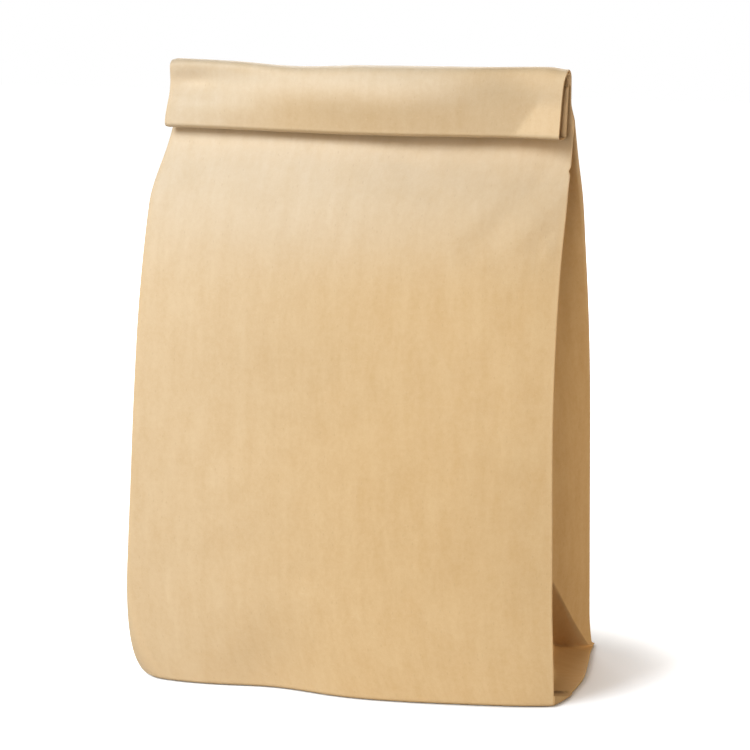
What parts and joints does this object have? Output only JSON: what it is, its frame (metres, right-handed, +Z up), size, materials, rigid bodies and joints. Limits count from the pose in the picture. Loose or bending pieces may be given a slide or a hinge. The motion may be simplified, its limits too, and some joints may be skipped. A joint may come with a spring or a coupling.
{
  "type": "gusseted paper bag",
  "caption": "Block-bottom kraft paper bag with side gussets, standing closed, its flattened top rolled down in front.",
  "frame": {"origin": "middle of the base, on the surface the bag stands on", "axes": "+Z up, +X to the right seen from the front, the front panel faces -Y"},
  "size_m": [0.2312, 0.1272, 0.312],
  "materials": {
    "kraft_paper": "matte unbleached kraft paper"
  },
  "bodies": {
    "root": {"paper_bag": "kraft_paper"}
  },
  "joints": []
}
